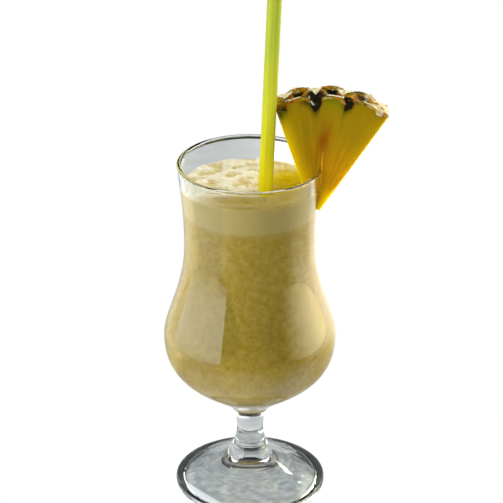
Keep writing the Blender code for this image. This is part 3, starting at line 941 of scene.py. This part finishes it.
# The height of the top picks the tone: painted shade in the hollows, painted light on the lumps.
relief = add(tree, "Attribute", {"attribute_name": "relief"})
mottle = add(tree, "TexNoise", {"Scale": 1 / (5 * MM), "Detail": 4.0}, {"Vector": place})
mixed = add(tree, "Math", {"operation": "MULTIPLY_ADD", 1: 1.2}, {0: mottle, 2: relief.outputs["Fac"]})
color = add(tree, "ValToRGB", None, {0: mixed}, ((0.0, "#d6c284"), (0.35, "#e4dab8"), (0.75, "#f0e8cc")))
for name, value_at, tint in FOAM_TINTS:
    layer = add(tree, "Attribute", {"attribute_name": name})
    color = add(tree, "Mix", RGBA | {7: srgb(tint)}, {0: layer.outputs["Fac"], 6: color})
bubbles = add(tree, "TexVoronoi", {"Scale": 1 / (0.9 * MM)}, {"Vector": place})
bump = add(tree, "Bump", {"Strength": 0.5, "Distance": 0.25 * MM}, {"Height": bubbles})
join(tree, shader, {"Base Color": color, "Normal": bump})

foam = new_piece("foam_head", body, foam_material, crease=60)
wedge_room = new_piece("cutter", gridded_block((1, 1, 1), wedge_room_point), foam_material)
wedge_room.matrix_world = wedge_place
hole_low = DRINK_TOP_Z - STRAW_END_Z - CUT_OVERRUN
hole_high = FOAM_TOP_Z - STRAW_END_Z + CUT_OVERRUN
cut_away(foam, [straw_cutter(STRAW_R + STRAW_ROOM, 0.0, hole_low, hole_high), wedge_room])
mark(foam, "relief", lambda x, y, z: foam_relief(x, y) / MM)
for name, value_at, tint in FOAM_TINTS:
    mark(foam, name, value_at)
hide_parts("foam")
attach(foam, "root")

# The floor
# A sheet of pale matt paper that the glass stands on, laid on a table in front of a white wall. It
# is seen only close to the foot, and fades into the white beyond.
PAPER_CORNERS = ((-0.33, -1.20), (0.45, -1.20), (0.45, 0.47), (-0.33, 0.47))
PAPER_UNDER = srgb("#adafb0")
PAPER_PATCH = srgb("#d4d6d6")
PAPER_BRIGHT = srgb("#f9f9f9")
PAPER_DIM = srgb("#a1a4a6")
PAPER_WARM = srgb("#8b7c61")
PAPER_SHADOW = srgb("#4b4d4d")
RING_SHADOW = (0.0338, 0.0375)
RING_BLUR = 0.0006
CAUSTIC_SIDE = (-0.75, -0.66, 0.0)
CAUSTIC_FROM = 0.0283
CAUSTIC_BLUR = 0.001
BELOW_FOOT = 0.2 * MM

# Matt paper with painted tones: white where the lamps reach it, grey where they leave it dim, a
# painted shadow under the foot, grey with paler patches, darkest in the ring of shadow under the foot's
# edge, a painted bright crescent where the foot gathers light at the front left, and a painted warm
# tone in the light it bounces where it is dim. Each zone rises along one or two measures in metres,
# from the first number to the second.
floor_material, tree, shader, place = start_material("pale_paper", {"Roughness": 0.9})
split = add(tree, "SeparateXYZ", links={0: place})
x = split.outputs["X"]
y = split.outputs["Y"]
distance = add(tree, "VectorMath", {"operation": "LENGTH"}, {0: place})
paths = add(tree, "LightPath")
seen = paths.outputs["Is Camera Ray"]
zone = {}
for name, *rises in (
        ("front_near", (distance, 0.22, 0.13), (y, 0.02, -0.04)), ("left_side", (x, -0.10, -0.24)),
        ("right_edge", (x, 0.25, 0.34), (y, -0.15, -0.02)), ("front_edge", (y, -0.17, -0.29)),
        ("right_back", (x, -0.02, 0.12), (y, 0.08, 0.18)), ("past_foot", (distance, 0.045, 0.07)),
        ("beyond", (x, 0.005, 0.02), (y, 0.2, 0.3)), ("shaded", (x, 0.0, 0.08), (y, -0.06, -0.16)),
        ("ring", (distance, RING_SHADOW[0] - RING_BLUR, RING_SHADOW[0] + RING_BLUR),
         (distance, RING_SHADOW[1] + RING_BLUR, RING_SHADOW[1] - RING_BLUR)),
        ("faded", (distance, 0.03, 0.14), (seen, 0.0, 1.0))):
    for measure, none, full in rises:
        rise = add(tree, "MapRange", SOFT | {"From Min": none, "From Max": full}, {"Value": measure})
        if name in zone:
            rise = add(tree, "Math", {"operation": "MULTIPLY"}, {0: zone[name], 1: rise})
        zone[name] = rise
lit = zone["front_near"]
for name in ("right_back", "beyond", "left_side", "right_edge"):
    lit = add(tree, "Math", {"operation": "MAXIMUM"}, {0: lit, 1: zone[name]})
unlit = add(tree, "Math", {"operation": "MAXIMUM"}, {0: zone["shaded"], 1: zone["front_edge"]})
direct = add(tree, "Math", {"operation": "SUBTRACT", 0: 1.0}, {1: paths.outputs["Is Transmission Ray"]})
dark = add(tree, "Math", {"operation": "MULTIPLY"}, {0: unlit, 1: direct})
tone = add(tree, "Mix", RGBA | {6: PAPER_DIM, 7: PAPER_BRIGHT}, {0: lit})
tone = add(tree, "Mix", RGBA | {7: PAPER_SHADOW}, {0: dark, 6: tone})
# Painted shadow under the foot, grey with paler patches, and a painted bright crescent of light.
patches = add(tree, "TexNoise", {"Scale": 1 / (5 * MM), "Detail": 3.0}, {"Vector": place})
patchy = add(tree, "MapRange", SOFT | {"From Min": 0.35, "From Max": 0.7}, {"Value": patches})
under = add(tree, "Mix", RGBA | {6: PAPER_UNDER, 7: PAPER_PATCH}, {0: patchy})
toward = add(tree, "VectorMath", {"operation": "DOT_PRODUCT", 1: CAUSTIC_SIDE}, {0: place})
caustic = add(tree, "MapRange", SOFT | {"From Min": CAUSTIC_FROM, "From Max": CAUSTIC_FROM + CAUSTIC_BLUR},
              {"Value": toward})
under = add(tree, "Mix", RGBA | {7: PAPER_BRIGHT}, {0: caustic, 6: under})
tone = add(tree, "Mix", RGBA, {0: zone["past_foot"], 6: under, 7: tone})
tone = add(tree, "Mix", RGBA | {7: PAPER_SHADOW}, {0: zone["ring"], 6: tone})
# A painted warm tone for the light that the paper bounces where it is dim.
scattered = add(tree, "Math", {"operation": "GREATER_THAN", 1: 0.5}, {0: paths.outputs["Diffuse Depth"]})
bounce = add(tree, "Mix", RGBA | {6: PAPER_BRIGHT, 7: PAPER_WARM}, {0: unlit})
tone = add(tree, "Mix", RGBA, {0: scattered, 6: tone, 7: bounce})
pale = add(tree, "Mix", RGBA | {7: PAPER_BRIGHT}, {0: seen, 6: tone})
join(tree, shader, {"Base Color": pale})
clear = add(tree, "BsdfTransparent")
paper = add(tree, "MixShader", links={0: zone["faded"], 1: shader, 2: clear})
join(tree, tree.nodes["Material Output"], {"Surface": paper})

body = bmesh.new()
body.faces.new([body.verts.new((*corner, 0.0)) for corner in PAPER_CORNERS])
floor = new_piece("floor", body, floor_material)
floor.location.z = -BELOW_FOOT

# The room
# White to the eye and dim to everything else, but for the table beyond the paper, which shows grey
# through the glass where it looks down and ahead.
ROOM_DIM = srgb("#272727")
ROOM_WHITE = srgb("#ffffff")
TABLE_BEYOND = srgb("#babdbd")
world = bpy.data.worlds.new("studio")
scene.world = world
world.use_nodes = True
tree = world.node_tree
paths = add(tree, "LightPath")
split = add(tree, "SeparateXYZ", links={0: add(tree, "TexCoord").outputs["Generated"]})
downward = add(tree, "MapRange", {"From Min": -0.12, "From Max": -0.2}, {"Value": split.outputs["Z"]})
forward = add(tree, "MapRange", {"From Min": 0.3, "From Max": 0.1}, {"Value": split.outputs["Y"]})
ahead = add(tree, "Math", {"operation": "MULTIPLY"}, {0: downward, 1: forward})
through = add(tree, "Math", {"operation": "MULTIPLY"}, {0: ahead, 1: paths.outputs["Is Transmission Ray"]})
room = add(tree, "Mix", RGBA | {6: ROOM_DIM, 7: TABLE_BEYOND}, {0: through})
wall = add(tree, "Mix", RGBA | {7: ROOM_WHITE}, {0: paths.outputs["Is Camera Ray"], 6: room})
join(tree, tree.nodes["Background"], {"Color": wall})

# The lamps
# Two softboxes on the left, the front one cool, a window behind on the right and a lamp above give
# shade and gloss. A sunlit wall on the right shows in the glass alone. Weaker lamps fill in, and one
# lights nothing but the straw.
MIDDLE = (0.0, 0.0, 0.11)
COOL = (0.94, 1.0, 1.06)
WHITE = (1.0, 1.0, 1.0)
SUNLIT = (1.0, 0.95, 0.7)
HARD = 0.001


def softbox(name, place, aim, size, radiance, edges=None, tint=WHITE):
    """A rectangular lamp facing its aim, equally bright at any size, with soft edges if given."""
    lamp = bpy.data.lights.new(name, "AREA")
    lamp.shape = "RECTANGLE"
    lamp.size, lamp.size_y = size
    lamp.color = tint
    lamp.energy = radiance * pi * size[0] * size[1]
    if edges:
        lamp.use_nodes = True
        tree = lamp.node_tree
        across = add(tree, "SeparateXYZ", links={0: add(tree, "NewGeometry").outputs["Parametric"]})
        parts = []
        for side, edge in zip(("X", "Y"), edges):
            off = add(tree, "Math", {"operation": "SUBTRACT", 1: 0.5}, {0: across.outputs[side]})
            off = add(tree, "Math", {"operation": "ABSOLUTE"}, {0: off})
            rise = SOFT | {"From Min": 0.5, "From Max": 0.5 - edge}
            parts.append(add(tree, "MapRange", rise, {"Value": off}))
        bright = add(tree, "Math", {"operation": "MULTIPLY"}, {0: parts[1], 1: parts[0]})
        join(tree, tree.nodes["Emission"], {"Strength": bright})
    box = bpy.data.objects.new(name, lamp)
    scene.collection.objects.link(box)
    box.location = place
    box.rotation_euler = (Vector(aim) - Vector(place)).to_track_quat("-Z", "Y").to_euler()
    box.visible_camera = False
    return box


softbox("softbox_left", (-0.8, -0.335, 0.26), (0.0, -0.335, 0.26), (1.43, 1.35), 3.35, (HARD, 0.4), COOL)
softbox("softbox_left_back", (-0.8, 0.83, 0.215), (0.0, 0.83, 0.215), (0.9, 1.17), 1.9, (HARD, 0.4))
softbox("softbox_above", (0.0, -0.1, 1.15), MIDDLE, (0.7, 0.7), 1.9)
softbox("window_back_right", (0.73, 0.73, 0.735), MIDDLE, (0.14, 0.17), 20.0)
wall_right = softbox(
    "sunlit_wall_right", (0.8, 0.25, 0.25), (0.0, 0.20, 0.12), (2.2, 1.4), 5.7, (0.5, 0.4), SUNLIT)

# The wall is only seen in reflections and through the glass: its light ends at the first surface
# that scatters it, so that it doesn't warm the drink.
wall_right.visible_diffuse = False
tree = wall_right.data.node_tree
paths = add(tree, "LightPath")
unscattered = add(tree, "Math", {"operation": "LESS_THAN", 1: 0.5}, {0: paths.outputs["Diffuse Depth"]})
join(tree, tree.nodes["Emission"], {"Color": unscattered})

for name, place, aim, size, radiance, tint in (
        ("fill_front", (-0.95, -0.85, 0.65), MIDDLE, (0.9, 0.9), 3.3, COOL),
        ("fill_back", (0.0, 1.3, 0.6), MIDDLE, (1.4, 0.8), 3.6, WHITE),
        ("fill_right", (0.85, 0.4, 0.25), MIDDLE, (0.7, 0.7), 12.5, WHITE),
        ("fill_low", (-0.12, -0.18, 0.004), (-0.12, -0.17, 1.0), (0.5, 0.25), 2.7, WHITE),
        ("fill_straw", (0.45, -0.87, 0.5), STRAW_ENTRY, (0.5, 0.5), 7.5, WHITE)):
    fill = softbox(name, place, aim, size, radiance, tint=tint)
    fill.visible_glossy = False
    fill.visible_transmission = False
straw_only = bpy.data.collections.new("straw_only")
straw_only.objects.link(straw)
fill.light_linking.receiver_collection = straw_only

# The camera
# A long lens that looks down at the drink, as far away as the fit of the glass's ellipses gives.
CAMERA_X = 0.74 * MM
AIM_Z = 130.03 * MM
DISTANCE = 1295.3 * MM
ELEVATION = radians(26.28)
SENSOR_WIDTH = 36.0
LENS = 187.75
camera_data = bpy.data.cameras.new("camera")
camera_data.sensor_width = SENSOR_WIDTH
camera_data.lens = LENS
camera = bpy.data.objects.new("camera", camera_data)
scene.collection.objects.link(camera)
camera.location = (CAMERA_X, -DISTANCE * cos(ELEVATION), AIM_Z + DISTANCE * sin(ELEVATION))
camera.rotation_euler = (pi / 2 - ELEVATION, 0.0, 0.0)
scene.camera = camera
scene.view_settings.view_transform = "Standard"
